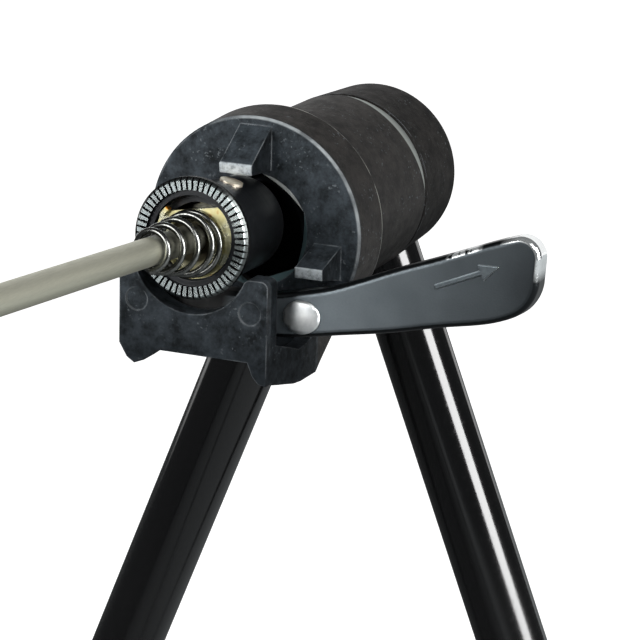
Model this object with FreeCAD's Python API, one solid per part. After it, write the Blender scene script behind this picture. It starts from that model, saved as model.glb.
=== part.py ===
import FreeCAD, Part
import math
import os

from FreeCAD import Vector

# Folding display stand that holds a bicycle by the quick-release skewer of its rear wheel.
# Millimetres and degrees. X runs along the wheel axle, Y along the bicycle, Z up.
# The origin is on the floor under the middle of the stand.
# Each head is drawn once around its pivot axis, with X pointing away from the wheel and
# X = 0 at the cradle, and is then set at +X, or mirrored to -X.

# Whole stand
axle_height = 350.0
cradle_spacing = 140.0
leg_half_angle = 21.3
folded_leg_angle = 3.0

# Legs, one bent tube on each side
tube_diameter = 13.8
tube_wall = 1.2
bend_radius = 35.0
foot_height = 10.0
foot_width = 20.0
foot_length = 26.0
front_foot_from_corner = 46.0
rear_foot_from_corner = 42.0

# Clearances
running_gap = 0.08
fixed_gap = 0.05
part_gap = 0.3

# Round barrel of a head, moulded in one with the disc and the cradle block
disc_start = 22.1
disc_length = 10.1
disc_radius_front = 20.9
disc_radius_back = 21.3
barrel_radius = 17.7
front_socket_station = 47.5
barrel_end = 63.4
edge_chamfer = 0.6

# Knuckle of the rear legs
rear_socket_station = 73.0
knuckle_end = 83.7
knuckle_radius_front = 17.7
knuckle_radius_back = 16.9
knuckle_edge_round = 3.0
socket_bottom_radius = 7.5

# Pivot bolt, M12, with its washers and thin nut
bolt_diameter = 12.0
bolt_head_flats = 18.0
bolt_head_height = 7.5
hex_pocket_flats = 18.6
hex_pocket_depth = 9.5
hex_turn = 6.7
pocket_rim_radius = 10.6
washer_diameter = 24.0
washer_thickness = 1.8
nut_height = 6.0
nut_recess_depth = 2.5
friction_washer_diameter = 21.0
friction_washer_thickness = 1.0

# Pins that lock the tubes in their sockets
pin_diameter = 4.0
pin_radius = 13.0
pin_overhang = 1.6

# Stop that holds the legs open
stop_radius = 14.7
stop_peg_diameter = 2.4
stop_peg_length = 2.8
stop_groove_depth = 3.4
stop_angle = 112.0
stop_gap = 0.15

# Centring lugs on the disc
lug_width = 6.3
lug_outer_radius = 19.3
lug_tip_station = 13.4
lug_tip_radius = 13.6
lug_tip_height = 1.7
lug_inner_radius = 11.2
side_lug_width = 5.3
side_lug_offset = 14.6
side_lug_root_height = -1.3
side_lug_tip_height = -3.8
side_lug_tip_depth = 1.9
side_lug_root_depth = 6.2

# Cradle block
block_offset = 1.4
block_half_width = 14.4
plate_front = -0.6
plate_thickness = 4.2
horn_top = -3.2
horn_round = 1.3
cradle_offset = 2.0
cradle_radius = 11.35
cradle_centre_height = 0.6
plate_bottom = -18.2
corner_start = -17.7
left_prong_tip = -21.2
right_prong_tip = -22.1
wall_thickness = 3.0
wall_set_back = 2.6
wall_lip_height = -16.0
far_wall_front = -7.0
far_wall_back = -11.5
wall_dip_start = 9.8
wall_dip_middle = 14.0
wall_dip_end = 17.5
wall_bottom = -25.3
wall_turn_station = 21.9
web_top = -16.4
web_thickness = 1.8
mark_radius = 2.1
mark_depth = 0.25
mark_offset = 11.0
mark_height = -9.3

# Skewer: its own axis x runs outward through the centre of the toothed ring
ring_height = 2.99
ring_offset = 1.81
skewer_pitch = 4.73
skewer_yaw = 0.68
rod_diameter = 5.0
ring_radius = 10.9
ring_bore_radius = 8.6
ring_front = -1.2
ring_back = 0.3
ring_bevel = 0.6
ring_teeth = 56
ring_tooth_depth = 0.75
housing_radius = 9.5
housing_rear_radius = 8.6
housing_end = 21.4
cavity_radius = 6.1
cavity_end = 16.0
seat_radius = 7.3
seat_room = 0.3
seat_flat_height = 5.0
seat_flat_turn = -9.5
seat_tab_turn = 38.0
seat_thickness = 1.0
seat_front = 0.2
eye_radius = 5.6
eye_front = 5.6
eye_gap = 0.25
cam_station = 11.0
cam_turn = 13.0
cam_diameter = 5.4
cam_throw = 0.5
cam_half_length = 5.8
lower_journal_diameter = 6.6
upper_journal_diameter = 4.2
shaft_overhang = -0.2

# Lever, in the skewer's frame: its flat front face lies at lever_front
lever_front = 7.5
lever_reach = 61.3
lever_base_thickness = 5.0
lever_waist_thickness = 2.6
lever_tip_thickness = 3.6
lever_edge_round = 1.2
boss_radius = 4.6
boss_top = -10.2
boss_bottom = -18.3
rivet_reach = 18.35
rivet_height = -13.1
rivet_half_width = 3.5
rivet_half_height = 3.0
rivet_depth = 1.0
rivet_stand = 0.35
rivet_rise = 0.35

# Edges of the lever's front face: share of the reach, and height
lever_top_edge = [
    (-0.05, -10.4), (0.10, -10.2), (0.22, -9.6), (0.29, -8.6), (0.35, -7.7), (0.44, -5.8),
    (0.53, -3.5), (0.59, -2.0), (0.66, -0.4), (0.77, 2.2), (0.88, 4.8), (0.93, 5.8),
]
lever_bottom_edge = [
    (0.925, -8.6), (0.87, -9.9), (0.74, -11.6), (0.63, -13.1), (0.54, -14.3), (0.40, -15.8),
    (0.33, -16.6), (0.23, -17.4), (0.10, -18.0), (-0.05, -18.3),
]
lever_tip_top = [(0.983, 4.7), (1.0, 1.8)]
lever_tip_bottom = [(0.998, -2.4), (0.976, -6.0)]

# Conical springs
spring_wire = 1.1
spring_large_diameter = 12.2
spring_small_diameter = 7.7
spring_turns = 4.5
spring_closed_turns = 1.5
spring_start_turn = 60.0
spring_length = 18.9
spring_droop = 1.0
spring_end_gap = 0.1

# Adjusting nut at the skewer's other end
nut_inset = 2.0
nut_body_length = 12.5
nut_radius = 9.0
nut_ring_radius = 9.6
nut_ring_bore_radius = 7.4
nut_ring_thickness = 1.8
nut_ring_bevel = 0.5
nut_teeth = 48
nut_grip_count = 18
nut_grip_radius = 1.1
rod_thread_length = 24.0
rod_thread_diameter = 4.9
rod_thread_inset = 3.0
spring_room_depth = 1.5

# Worked-out sizes
half_spacing = cradle_spacing / 2
nut_face = nut_inset - cradle_spacing
tube_radius = tube_diameter / 2
disc_end = disc_start + disc_length
leg_length = (axle_height - foot_height) / math.cos(math.radians(leg_half_angle))
fold_angle = 2 * leg_half_angle - folded_leg_angle
plate_back = plate_front + plate_thickness
knuckle_start = barrel_end + part_gap
bolt_head_back = disc_start + hex_pocket_depth
nut_floor = knuckle_end - nut_recess_depth
ORIGIN = Vector(0, 0, 0)
ALONG = Vector(1, 0, 0)
ACROSS = Vector(0, 1, 0)
UP = Vector(0, 0, 1)


def rod(radius, start, end, y=0.0, z=0.0):
    """Round bar along X."""
    return Part.makeCylinder(radius, end - start, Vector(start, y, z), ALONG)


def ring(outer, inner, start, end):
    """Round tube along X."""
    return rod(outer, start, end).cut(rod(inner, start - 1, end + 1))


def turned(points):
    """Solid turned around X from its half outline of (station, radius) points."""
    outline = [Vector(station, 0, radius) for station, radius in points]
    face = Part.Face(Part.makePolygon(outline + [outline[0]]))
    return face.revolve(ORIGIN, ALONG, 360)


def box(x0, x1, y0, y1, z0, z1):
    """Block between two corners."""
    return Part.makeBox(x1 - x0, y1 - y0, z1 - z0, Vector(x0, y0, z0))


def hexagon(flats, start, end):
    """Hexagonal bar along X with a corner near its top."""
    corner = flats / math.sqrt(3)
    angles = [math.radians(90 + hex_turn + 60 * k) for k in range(7)]
    points = [Vector(start, corner * math.cos(a), corner * math.sin(a)) for a in angles]
    return Part.Face(Part.makePolygon(points)).extrude(Vector(end - start, 0, 0))


def oval(half_width, half_height, start, end, y, z):
    """Oval bar along X, wider across than high."""
    flat = Part.Ellipse(ORIGIN, half_width, half_height).toShape()
    face = Part.Face(Part.Wire([flat]))
    face.rotate(ORIGIN, UP, 90)
    face.rotate(ORIGIN, ACROSS, 90)
    face.translate(Vector(start, y, z))
    return face.extrude(Vector(end - start, 0, 0))


def leg_direction(sign):
    """Unit vector down a leg: sign +1 for the front leg, -1 for the rear one."""
    lean = math.radians(leg_half_angle)
    return Vector(0, sign * math.sin(lean), -math.cos(lean))


def polar(radius, angle, station):
    """Point at a station, at an angle measured from +Y towards +Z."""
    turn = math.radians(angle)
    return Vector(station, radius * math.cos(turn), radius * math.sin(turn))


def set_head(shape, side):
    """Put a head's shape at its end of the stand: side +1 or -1."""
    placed = shape.copy()
    placed.translate(Vector(half_spacing, 0, axle_height))
    if side < 0:
        placed = placed.mirror(ORIGIN, ALONG)
    return placed


def save(name, shapes):
    """Write one node, from one solid or a group of separate solids."""
    group = shapes if isinstance(shapes, list) else [shapes]
    solids = []
    for shape in group:
        solids.extend(shape.Solids)
    result = solids[0] if len(solids) == 1 else Part.makeCompound(solids)
    result.exportStep(os.path.join("parts", name + ".step"))
    print(name, "solids", len(solids), "volume", round(sum(s.Volume for s in solids), 1),
          "valid", all(s.isValid() for s in solids))


# Head: cradle plate, side walls and web

def cradle_plate():
    """Upright plate with a half-round cradle, two rounded horns and two lower prongs."""
    left = block_offset + block_half_width
    right = block_offset - block_half_width
    points = [
        (left, horn_top),
        (left, corner_start),
        (left - 1.5, left_prong_tip + 1.0),
        (left - 3.0, left_prong_tip),
        (left - 5.0, left_prong_tip + 0.8),
        (left - 7.9, plate_bottom),
        (right + 3.7, plate_bottom),
        (right + 2.7, right_prong_tip + 1.5),
        (right + 1.5, right_prong_tip + 0.2),
        (right, right_prong_tip),
        (right, horn_top),
    ]
    outline = [Vector(plate_front, y, z) for y, z in points]
    face = Part.Face(Part.makePolygon(outline + [outline[0]]))
    plate = face.extrude(Vector(plate_thickness, 0, 0))
    cradle = rod(cradle_radius, plate_front - 1, plate_back + 1, cradle_offset,
                 cradle_centre_height)
    plate = plate.cut(cradle)
    tops = []
    for edge in plate.Edges:
        along_x = abs(edge.BoundBox.XLength - plate_thickness) < 1e-6
        if along_x and abs(edge.CenterOfMass.z - horn_top) < 1e-6:
            tops.append(edge)
    opening = math.sqrt(cradle_radius ** 2 - (cradle_centre_height - horn_top) ** 2)
    narrow_horn = block_half_width - opening - abs(cradle_offset - block_offset)
    return plate.makeFillet(min(horn_round, 0.45 * narrow_horn), tops)


def side_wall(sign, outline):
    """Wall from the plate back to the disc on one side of the block."""
    outer = sign * block_half_width + block_offset
    y0 = min(outer, outer - sign * wall_thickness)
    points = [Vector(s, y0, z) for s, z in outline]
    face = Part.Face(Part.makePolygon(points + [points[0]]))
    return face.extrude(Vector(0, wall_thickness, 0))


def block_back():
    """Both side walls and the sloping floor between them; the near wall is low for the lever."""
    start = plate_front + wall_set_back
    lip = wall_lip_height
    top = [
        (disc_end - 1.0, lip - 1.0),
        (disc_start, lip - 1.4),
        (wall_dip_end, lip - 2.7),
        (wall_dip_middle, lip - 2.9),
        (wall_dip_start, lip - 1.5),
        (plate_back, lip + 0.4),
        (start, lip + 0.4),
    ]
    right = [
        (start, right_prong_tip - 0.4),
        (4.4, wall_bottom + 2.2),
        (7.9, wall_bottom + 1.4),
        (11.7, wall_bottom + 0.5),
        (14.9, wall_bottom + 0.1),
        (wall_turn_station, wall_bottom),
        (wall_turn_station + 2.0, wall_bottom + 1.5),
        (wall_turn_station + 7.0, wall_bottom + 4.8),
        (disc_end - 1.0, wall_bottom + 6.4),
    ]
    left_top = [
        (disc_end - 1.0, far_wall_back),
        (disc_start, far_wall_back),
        (plate_back, far_wall_front),
        (start, far_wall_front),
    ]
    left = [
        (start, left_prong_tip + 1.4),
        (wall_turn_station, left_prong_tip + 0.4),
        (wall_turn_station + 5.0, left_prong_tip + 1.4),
    ]
    floor = [
        (plate_back - 1.0, web_top),
        (7.0, web_top - 0.8),
        (14.0, web_top - 3.1),
        (disc_start + 1.0, web_top - 3.3),
    ]
    under = [(s, z - web_thickness) for s, z in reversed(floor)]
    corners = [Vector(s, block_offset - block_half_width + 1, z) for s, z in floor + under]
    face = Part.Face(Part.makePolygon(corners + [corners[0]]))
    web = face.extrude(Vector(0, 2 * block_half_width - 2, 0))
    return [side_wall(-1, right + top), side_wall(1, left + left_top), web]


def lug(outline, width, y):
    """Ramp on the disc's face, from its side outline, centred at y."""
    points = [Vector(station, y - width / 2, z) for station, z in outline]
    face = Part.Face(Part.makePolygon(points + [points[0]]))
    return face.extrude(Vector(0, width, 0))


def centring_lugs():
    """One ramp above the pocket and a level one at each side guide a hub's end to the middle."""
    root = disc_start + 1.0
    top = [
        (root, lug_outer_radius),
        (disc_start, lug_outer_radius),
        (lug_tip_station, lug_tip_radius),
        (lug_tip_station + 0.3, lug_tip_radius - lug_tip_height),
        (disc_start, lug_inner_radius),
        (root, lug_inner_radius),
    ]
    side = [
        (root, side_lug_root_height),
        (disc_start, side_lug_root_height),
        (lug_tip_station, side_lug_tip_height),
        (lug_tip_station + 0.3, side_lug_tip_height - side_lug_tip_depth),
        (disc_start, side_lug_root_height - side_lug_root_depth),
        (root, side_lug_root_height - side_lug_root_depth),
    ]
    return [lug(top, lug_width, 0), lug(side, side_lug_width, side_lug_offset),
            lug(side, side_lug_width, -side_lug_offset)]


def stop_groove():
    """Curved groove in the barrel's end face in which the knuckle's peg runs."""
    wall = stop_peg_diameter / 2 + stop_gap
    inner = stop_radius - wall
    outer = stop_radius + wall
    bottom = barrel_end - stop_groove_depth
    length = stop_groove_depth + 1
    low, high = stop_angle, stop_angle + fold_angle
    middle = (low + high) / 2
    edges = []
    for radius in (inner, outer):
        ends = [polar(radius, angle, bottom) for angle in (low, middle, high)]
        edges.append(Part.Arc(*ends).toShape())
    for angle in (low, high):
        line = Part.LineSegment(polar(inner, angle, bottom), polar(outer, angle, bottom))
        edges.append(line.toShape())
    groove = Part.Face(Part.Wire(Part.__sortEdges__(edges))).extrude(Vector(length, 0, 0))
    for angle in (low, high):
        start = polar(stop_radius, angle, bottom)
        groove = groove.fuse(Part.makeCylinder(wall, length, start, ALONG))
    return groove


def tube_socket(station, sign):
    """Round hole for a leg, from outside the barrel to just short of the bolt."""
    down = leg_direction(sign)
    start = down * socket_bottom_radius + Vector(station, 0, 0)
    return Part.makeCylinder(tube_radius + fixed_gap, 2 * barrel_radius, start, down)


def pin_hole(start, end, sign, radius):
    """Bar along X that crosses a leg near its top."""
    centre = leg_direction(sign) * pin_radius
    return rod(radius, start, end, centre.y, centre.z)


def head_body():
    """Moulding that carries the wheel's axle end and the front leg."""
    body = turned([
        (disc_start, 0),
        (disc_start, disc_radius_front - 0.3),
        (disc_start + 0.3, disc_radius_front),
        (disc_end - 0.3, disc_radius_back),
        (disc_end, disc_radius_back - 0.3),
        (disc_end, barrel_radius),
        (barrel_end - edge_chamfer, barrel_radius),
        (barrel_end, barrel_radius - edge_chamfer),
        (barrel_end, 0),
    ])
    lugs = centring_lugs()
    body = body.multiFuse([cradle_plate()] + block_back() + lugs)
    pocket = hexagon(hex_pocket_flats, disc_start - 1, bolt_head_back)
    rim_depth = pocket_rim_radius - hex_pocket_flats / 2
    rim = Part.makeCone(pocket_rim_radius, pocket_rim_radius - rim_depth, rim_depth,
                        Vector(disc_start, 0, 0), ALONG)
    bore = rod(bolt_diameter / 2 + running_gap, disc_start, barrel_end + 1)
    washer_room = rod(friction_washer_diameter / 2 + part_gap,
                      knuckle_start - friction_washer_thickness - running_gap, barrel_end + 1)
    pin_start = front_socket_station - tube_radius - pin_overhang
    cuts = [
        pocket,
        rim,
        bore,
        washer_room,
        tube_socket(front_socket_station, 1),
        pin_hole(pin_start, barrel_end + 1, 1, pin_diameter / 2 + fixed_gap),
        stop_groove(),
    ]
    for sign in (1, -1):
        y = sign * mark_offset + block_offset
        cuts.append(rod(mark_radius, plate_front - 1, plate_front + mark_depth, y, mark_height))
    for cutter in cuts:
        body = body.cut(cutter)
    return body.removeSplitter()


# Rear knuckle and the pivot hardware

def rear_knuckle():
    """Moulding that turns on the bolt and carries the rear leg."""
    edge = knuckle_edge_round
    profile = [
        Vector(knuckle_start, 0, 0),
        Vector(knuckle_start, 0, knuckle_radius_front - edge_chamfer),
        Vector(knuckle_start + edge_chamfer, 0, knuckle_radius_front),
        Vector(knuckle_end - edge, 0, knuckle_radius_back),
    ]
    lines = [Part.LineSegment(a, b).toShape() for a, b in zip(profile, profile[1:])]
    bulge = edge * math.sqrt(0.5)
    on_arc = Vector(knuckle_end - edge + bulge, 0, knuckle_radius_back - edge + bulge)
    arc_end = Vector(knuckle_end, 0, knuckle_radius_back - edge)
    lines.append(Part.Arc(profile[-1], on_arc, arc_end).toShape())
    lines.append(Part.LineSegment(arc_end, Vector(knuckle_end, 0, 0)).toShape())
    lines.append(Part.LineSegment(Vector(knuckle_end, 0, 0), profile[0]).toShape())
    body = Part.Face(Part.Wire(lines)).revolve(ORIGIN, ALONG, 360)
    peg = Part.makeCylinder(stop_peg_diameter / 2, stop_peg_length + 1,
                            polar(stop_radius, stop_angle, knuckle_start - stop_peg_length), ALONG)
    body = body.fuse(peg)
    pin_end = rear_socket_station + tube_radius + 0.4
    cuts = [
        rod(bolt_diameter / 2 + running_gap, knuckle_start - 1, knuckle_end + 1),
        rod(washer_diameter / 2 + part_gap, nut_floor, knuckle_end + 1),
        tube_socket(rear_socket_station, -1),
        pin_hole(knuckle_start - 1, pin_end, -1, pin_diameter / 2 + fixed_gap),
    ]
    for cutter in cuts:
        body = body.cut(cutter)
    return body


def pivot_bolt():
    """Hexagon bolt whose head is held in the disc's pocket."""
    head_front = bolt_head_back - bolt_head_height
    head = hexagon(bolt_head_flats, head_front, bolt_head_back)
    corner = bolt_head_flats / math.sqrt(3)
    dome = turned([
        (head_front, 0),
        (head_front, 0.95 * bolt_head_flats / 2),
        (head_front + 0.5 * (corner - 0.95 * bolt_head_flats / 2), corner + 0.01),
        (bolt_head_back, corner + 0.01),
        (bolt_head_back, 0),
    ])
    end = nut_floor + washer_thickness + nut_height + 1.0
    point = 0.8
    radius = bolt_diameter / 2
    shank = turned([
        (bolt_head_back - 1, 0),
        (bolt_head_back - 1, radius),
        (end - point, radius),
        (end, radius - point),
        (end, 0),
    ])
    return head.common(dome).fuse(shank).removeSplitter()


def pivot_nut():
    """Thin hexagon nut with both edges chamfered."""
    start = nut_floor + washer_thickness
    end = start + nut_height
    corner = bolt_head_flats / math.sqrt(3)
    face_radius = 0.95 * bolt_head_flats / 2
    slope = 0.5 * (corner - face_radius)
    dome = turned([
        (start, 0),
        (start, face_radius),
        (start + slope, corner + 0.01),
        (end - slope, corner + 0.01),
        (end, face_radius),
        (end, 0),
    ])
    hole = rod(bolt_diameter / 2 + 0.01, start - 1, end + 1)
    return hexagon(bolt_head_flats, start, end).common(dome).cut(hole)


def nut_washer():
    """Steel washer in the knuckle's recess."""
    return ring(washer_diameter / 2, bolt_diameter / 2 + running_gap,
                nut_floor, nut_floor + washer_thickness)


def friction_washer():
    """Plastic washer between barrel and knuckle that makes the fold stiff."""
    end = knuckle_start - running_gap
    return ring(friction_washer_diameter / 2, bolt_diameter / 2 + running_gap,
                end - friction_washer_thickness, end)


# Leg frames

def bent_tube(half_width, sign, radius):
    """Solid bar bent into a U: down one leg, along the floor and up the other leg."""
    down = leg_direction(sign)
    axle = Vector(0, 0, axle_height)
    side = Vector(half_width, 0, 0)
    top = axle + down * (socket_bottom_radius + fixed_gap) + side
    bend_start = axle + down * (leg_length - bend_radius) + side
    bend_centre = bend_start - Vector(bend_radius, 0, 0)
    bend_middle = bend_centre + (Vector(1, 0, 0) + down) * (bend_radius * math.sqrt(0.5))
    bend_end = bend_centre + down * bend_radius
    half = [top, bend_start, bend_middle, bend_end]
    far = [Vector(-p.x, p.y, p.z) for p in reversed(half)]
    path = [
        Part.LineSegment(half[0], half[1]).toShape(),
        Part.Arc(half[1], half[2], half[3]).toShape(),
        Part.LineSegment(half[3], far[0]).toShape(),
        Part.Arc(far[0], far[1], far[2]).toShape(),
        Part.LineSegment(far[2], far[3]).toShape(),
    ]
    section = Part.Wire([Part.Circle(top, down, radius).toShape()])
    return Part.Wire(path).makePipeShell([section], True, False)


def leg_frame(station, sign, pin_start, pin_end):
    """Bent steel tube with its two pin holes."""
    half_width = half_spacing + station
    frame = bent_tube(half_width, sign, tube_radius)
    frame = frame.cut(bent_tube(half_width, sign, tube_radius - tube_wall))
    hole = pin_hole(pin_start, pin_end, sign, pin_diameter / 2 + fixed_gap)
    for side in (1, -1):
        frame = frame.cut(set_head(hole, side))
    return frame


def foot(half_width, from_corner, sign, side):
    """Rubber shoe around the floor tube, with a flat sole."""
    centre = Vector(0, 0, axle_height) + leg_direction(sign) * leg_length
    middle = half_width - from_corner - foot_length / 2
    x0 = middle - foot_length / 2
    radius = foot_width / 2
    shoe = Part.makeCylinder(radius, foot_length, Vector(x0, centre.y, centre.z), ALONG)
    sole_half = 0.8 * radius
    sole = box(x0, x0 + foot_length, centre.y - sole_half, centre.y + sole_half, 0, centre.z)
    shoe = shoe.fuse(sole)
    floor = box(x0 - 1, x0 + foot_length + 1, centre.y - 2 * radius, centre.y + 2 * radius,
                -2 * radius, 0)
    shoe = shoe.cut(floor)
    hole = Part.makeCylinder(tube_radius + fixed_gap, foot_length + 2,
                             Vector(x0 - 1, centre.y, centre.z), ALONG)
    shoe = shoe.cut(hole)
    return shoe if side > 0 else shoe.mirror(ORIGIN, ALONG)


# Skewer pieces, drawn along their own axis

def skewer_placement():
    """Where the skewer lies: through the ring's centre, tilted as in the photograph."""
    turn = FreeCAD.Rotation(UP, skewer_yaw).multiply(FreeCAD.Rotation(ACROSS, skewer_pitch))
    return FreeCAD.Placement(Vector(half_spacing, ring_offset, axle_height + ring_height), turn)


def set_skewer(shape):
    """Move a piece from the skewer's own frame into the stand."""
    placed = shape.copy()
    placed.Placement = skewer_placement().multiply(placed.Placement)
    return placed


def toothed_ring(outer, inner, front, back, bevel, teeth, depth, outward):
    """Ring with a bevelled rim and narrow radial grooves on the face that bites the dropout."""
    face, rear = (front, back) if outward < 0 else (back, front)
    body = turned([
        (face, inner),
        (face, outer - bevel),
        (face - outward * bevel, outer),
        (rear, outer),
        (rear, inner),
    ])
    half_width = 0.4 * math.pi * inner / teeth
    wedge = [
        Vector(face, -half_width, 0),
        Vector(face - outward * depth, 0, 0),
        Vector(face, half_width, 0),
        Vector(face + outward * depth, 0, 0),
    ]
    length = outer - inner + 2
    notches = []
    for k in range(teeth):
        points = [p + Vector(0, 0, inner - 1) for p in wedge]
        notch = Part.Face(Part.makePolygon(points + [points[0]])).extrude(Vector(0, 0, length))
        notch.rotate(ORIGIN, ALONG, 360.0 * k / teeth)
        notches.append(notch)
    return body.cut(Part.makeCompound(notches))


def cam_axis_bar(radius, low, high, offset=0.0):
    """Bar along the cam shaft, which crosses the skewer nearly upright."""
    bar = Part.makeCylinder(radius, high - low, Vector(cam_station + offset, 0, low), UP)
    bar.rotate(Vector(cam_station, 0, 0), ALONG, cam_turn)
    return bar


def serrated_ring():
    return toothed_ring(ring_radius, ring_bore_radius, ring_front, ring_back, ring_bevel,
                        ring_teeth, ring_tooth_depth, -1)


def cam_housing():
    """Cup that holds the cam, with a lip inside the toothed ring."""
    body = turned([
        (ring_front + 0.8, 0),
        (ring_front + 0.8, ring_bore_radius - fixed_gap),
        (ring_back + fixed_gap, ring_bore_radius - fixed_gap),
        (ring_back + fixed_gap, housing_radius),
        (housing_end - 0.8, housing_rear_radius),
        (housing_end, housing_rear_radius - 0.8),
        (housing_end, 0),
    ])
    far = 2 * housing_radius
    cam_room = cam_diameter / 2 + cam_throw + 0.2
    cam_room_half = cam_half_length + 0.15
    cuts = [
        rod(seat_radius + seat_room, ring_front, seat_front + seat_thickness + 1.0),
        rod(cavity_radius, ring_front, cavity_end),
        cam_axis_bar(lower_journal_diameter / 2 + running_gap, -far, 0),
        cam_axis_bar(upper_journal_diameter / 2 + running_gap, 0, far),
        cam_axis_bar(cam_room, -cam_room_half, cam_room_half),
    ]
    for cutter in cuts:
        body = body.cut(cutter)
    return body


def spring_seat():
    """Zinc-plated plate in the ring that the spring presses on, with one straight edge."""
    body = rod(seat_radius, seat_front, seat_front + seat_thickness)
    body = body.cut(rod(rod_diameter / 2 + running_gap, seat_front - 1, seat_front + 3))
    edge = box(seat_front - 1, seat_front + seat_thickness + 1, -seat_radius, seat_radius,
               seat_flat_height, 2 * seat_radius)
    edge.rotate(ORIGIN, ALONG, seat_flat_turn)
    tab = box(seat_front - 1.1, seat_front + 0.2, seat_radius - 0.9, seat_radius - 0.15, -0.9, 0.9)
    tab.rotate(ORIGIN, ALONG, seat_tab_turn)
    return body.cut(edge).fuse(tab)


def skewer_rod():
    """Steel rod with an eye around the cam at one end and a thread at the other."""
    thread_end = nut_face - nut_body_length + rod_thread_inset
    thread_start = thread_end + rod_thread_length
    body = rod(rod_diameter / 2, thread_start, eye_front + 1)
    body = body.fuse(rod(rod_thread_diameter / 2, thread_end, thread_start))
    body = body.fuse(rod(eye_radius, eye_front, cavity_end - 0.4))
    return body.cut(cam_axis_bar(cam_diameter / 2 + eye_gap, -2 * eye_radius, 2 * eye_radius,
                                 cam_throw))


def cam_shaft():
    """Turned shaft: thick journal in the lever, eccentric cam, thin journal on top."""
    lower = cam_axis_bar(lower_journal_diameter / 2, boss_bottom + 1.0, -cam_half_length)
    cam = cam_axis_bar(cam_diameter / 2, -cam_half_length - 0.5, cam_half_length, cam_throw)
    upper = cam_axis_bar(upper_journal_diameter / 2, cam_half_length - 0.5,
                         housing_radius + shaft_overhang)
    return lower.fuse(cam).fuse(upper)


def curve(points):
    """Smooth curve through points."""
    line = Part.BSplineCurve()
    line.interpolate(points)
    return line.toShape()


def lever_plan():
    """Outline of the arm across the skewer, from its base to the wide rounded tip."""
    def place(points):
        return [Vector(lever_front, -share * lever_reach, height) for share, height in points]

    top = place(lever_top_edge)
    bottom = place(lever_bottom_edge)
    tip_top = place(lever_tip_top)
    tip_bottom = place(lever_tip_bottom)
    return Part.Face(Part.Wire([
        curve(top),
        Part.Arc(top[-1], tip_top[0], tip_top[1]).toShape(),
        Part.LineSegment(tip_top[1], tip_bottom[0]).toShape(),
        Part.Arc(tip_bottom[0], tip_bottom[1], bottom[0]).toShape(),
        curve(bottom),
        Part.LineSegment(bottom[-1], top[0]).toShape(),
    ]))


def lever_thickness():
    """Side view of the arm: flat front, thick base, thin waist and thicker tip."""
    back = [
        (0.24, lever_base_thickness),
        (0.40, lever_waist_thickness + 0.6),
        (0.55, lever_waist_thickness),
        (0.80, lever_tip_thickness),
        (1.10, lever_tip_thickness),
    ]
    rear = [Vector(lever_front + t, -share * lever_reach, 0) for share, t in back]
    base_y = 0.2 * lever_reach
    corners = [
        rear[-1],
        Vector(lever_front, rear[-1].y, 0),
        Vector(lever_front, base_y, 0),
        Vector(lever_front + lever_base_thickness, base_y, 0),
        rear[0],
    ]
    lines = [Part.LineSegment(a, b).toShape() for a, b in zip(corners, corners[1:])]
    face = Part.Face(Part.Wire([curve(rear)] + lines))
    face.translate(Vector(0, 0, -lever_reach))
    return face.extrude(Vector(0, 0, 2 * lever_reach))


def lever():
    """Forged lever: boss on the cam shaft, thick base, thin waist and wide end."""
    plan = lever_plan().extrude(Vector(2 * lever_base_thickness, 0, 0))
    arm = plan.common(lever_thickness())
    rounded = []
    for edge in arm.Edges:
        middle = edge.CenterOfMass
        outer_part = middle.y < -0.3 * lever_reach
        if outer_part and edge.Length > 2 and abs(middle.x - lever_front) < 0.05:
            rounded.append(edge)
    arm = arm.makeFillet(lever_edge_round, rounded)
    body = arm.fuse(cam_axis_bar(boss_radius, boss_bottom, boss_top))
    shaft_hole = cam_axis_bar(lower_journal_diameter / 2 + 0.01, boss_bottom + 0.99, boss_top + 2)
    rivet_hole = oval(rivet_half_width + fixed_gap, rivet_half_height + fixed_gap,
                      lever_front - 1, lever_front + rivet_depth, -rivet_reach, rivet_height)
    return body.cut(shaft_hole).cut(rivet_hole)


def lever_rivet():
    """Polished oval cap in the lever's base, slightly domed."""
    rim = lever_front - rivet_stand
    face = rim - rivet_rise
    ball_radius = (rivet_half_width ** 2 + rivet_rise ** 2) / (2 * rivet_rise)
    ball = Part.makeSphere(ball_radius, Vector(face + ball_radius, -rivet_reach, rivet_height))
    back = lever_front + rivet_depth - fixed_gap
    bar = oval(rivet_half_width, rivet_half_height, face - 1, back, -rivet_reach, rivet_height)
    return bar.common(ball)


# Conical springs, wound from arcs that follow a conical helix

def spring_share(turns):
    """Share of the spring's length after some turns: it starts almost closed, then opens."""
    open_turns = spring_turns - spring_closed_turns / 2
    if turns < spring_closed_turns:
        return turns ** 2 / (2 * spring_closed_turns * open_turns)
    return (turns - spring_closed_turns / 2) / open_turns


def spring_point(turn_angle, start_x, direction):
    """Point on the conical helix at a turn angle in radians; its wide end hangs a little."""
    share = spring_share(max(turn_angle, 0) / (2 * math.pi))
    large = (spring_large_diameter - spring_wire) / 2
    small = (spring_small_diameter - spring_wire) / 2
    radius = large + (small - large) * share
    travel = spring_length - spring_wire
    x = start_x + direction * (spring_wire / 2 + travel * share)
    angle = turn_angle + math.radians(spring_start_turn)
    droop = spring_droop * (1 - share)
    return Vector(x, radius * math.cos(angle), radius * math.sin(angle) - droop)


def spring_tangent(turn_angle, start_x, direction):
    """Direction of the wire at a turn angle."""
    step = 0.001
    ahead = spring_point(turn_angle + step, start_x, direction)
    behind = spring_point(turn_angle - step, start_x, direction)
    return (ahead - behind).normalize()


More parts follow.
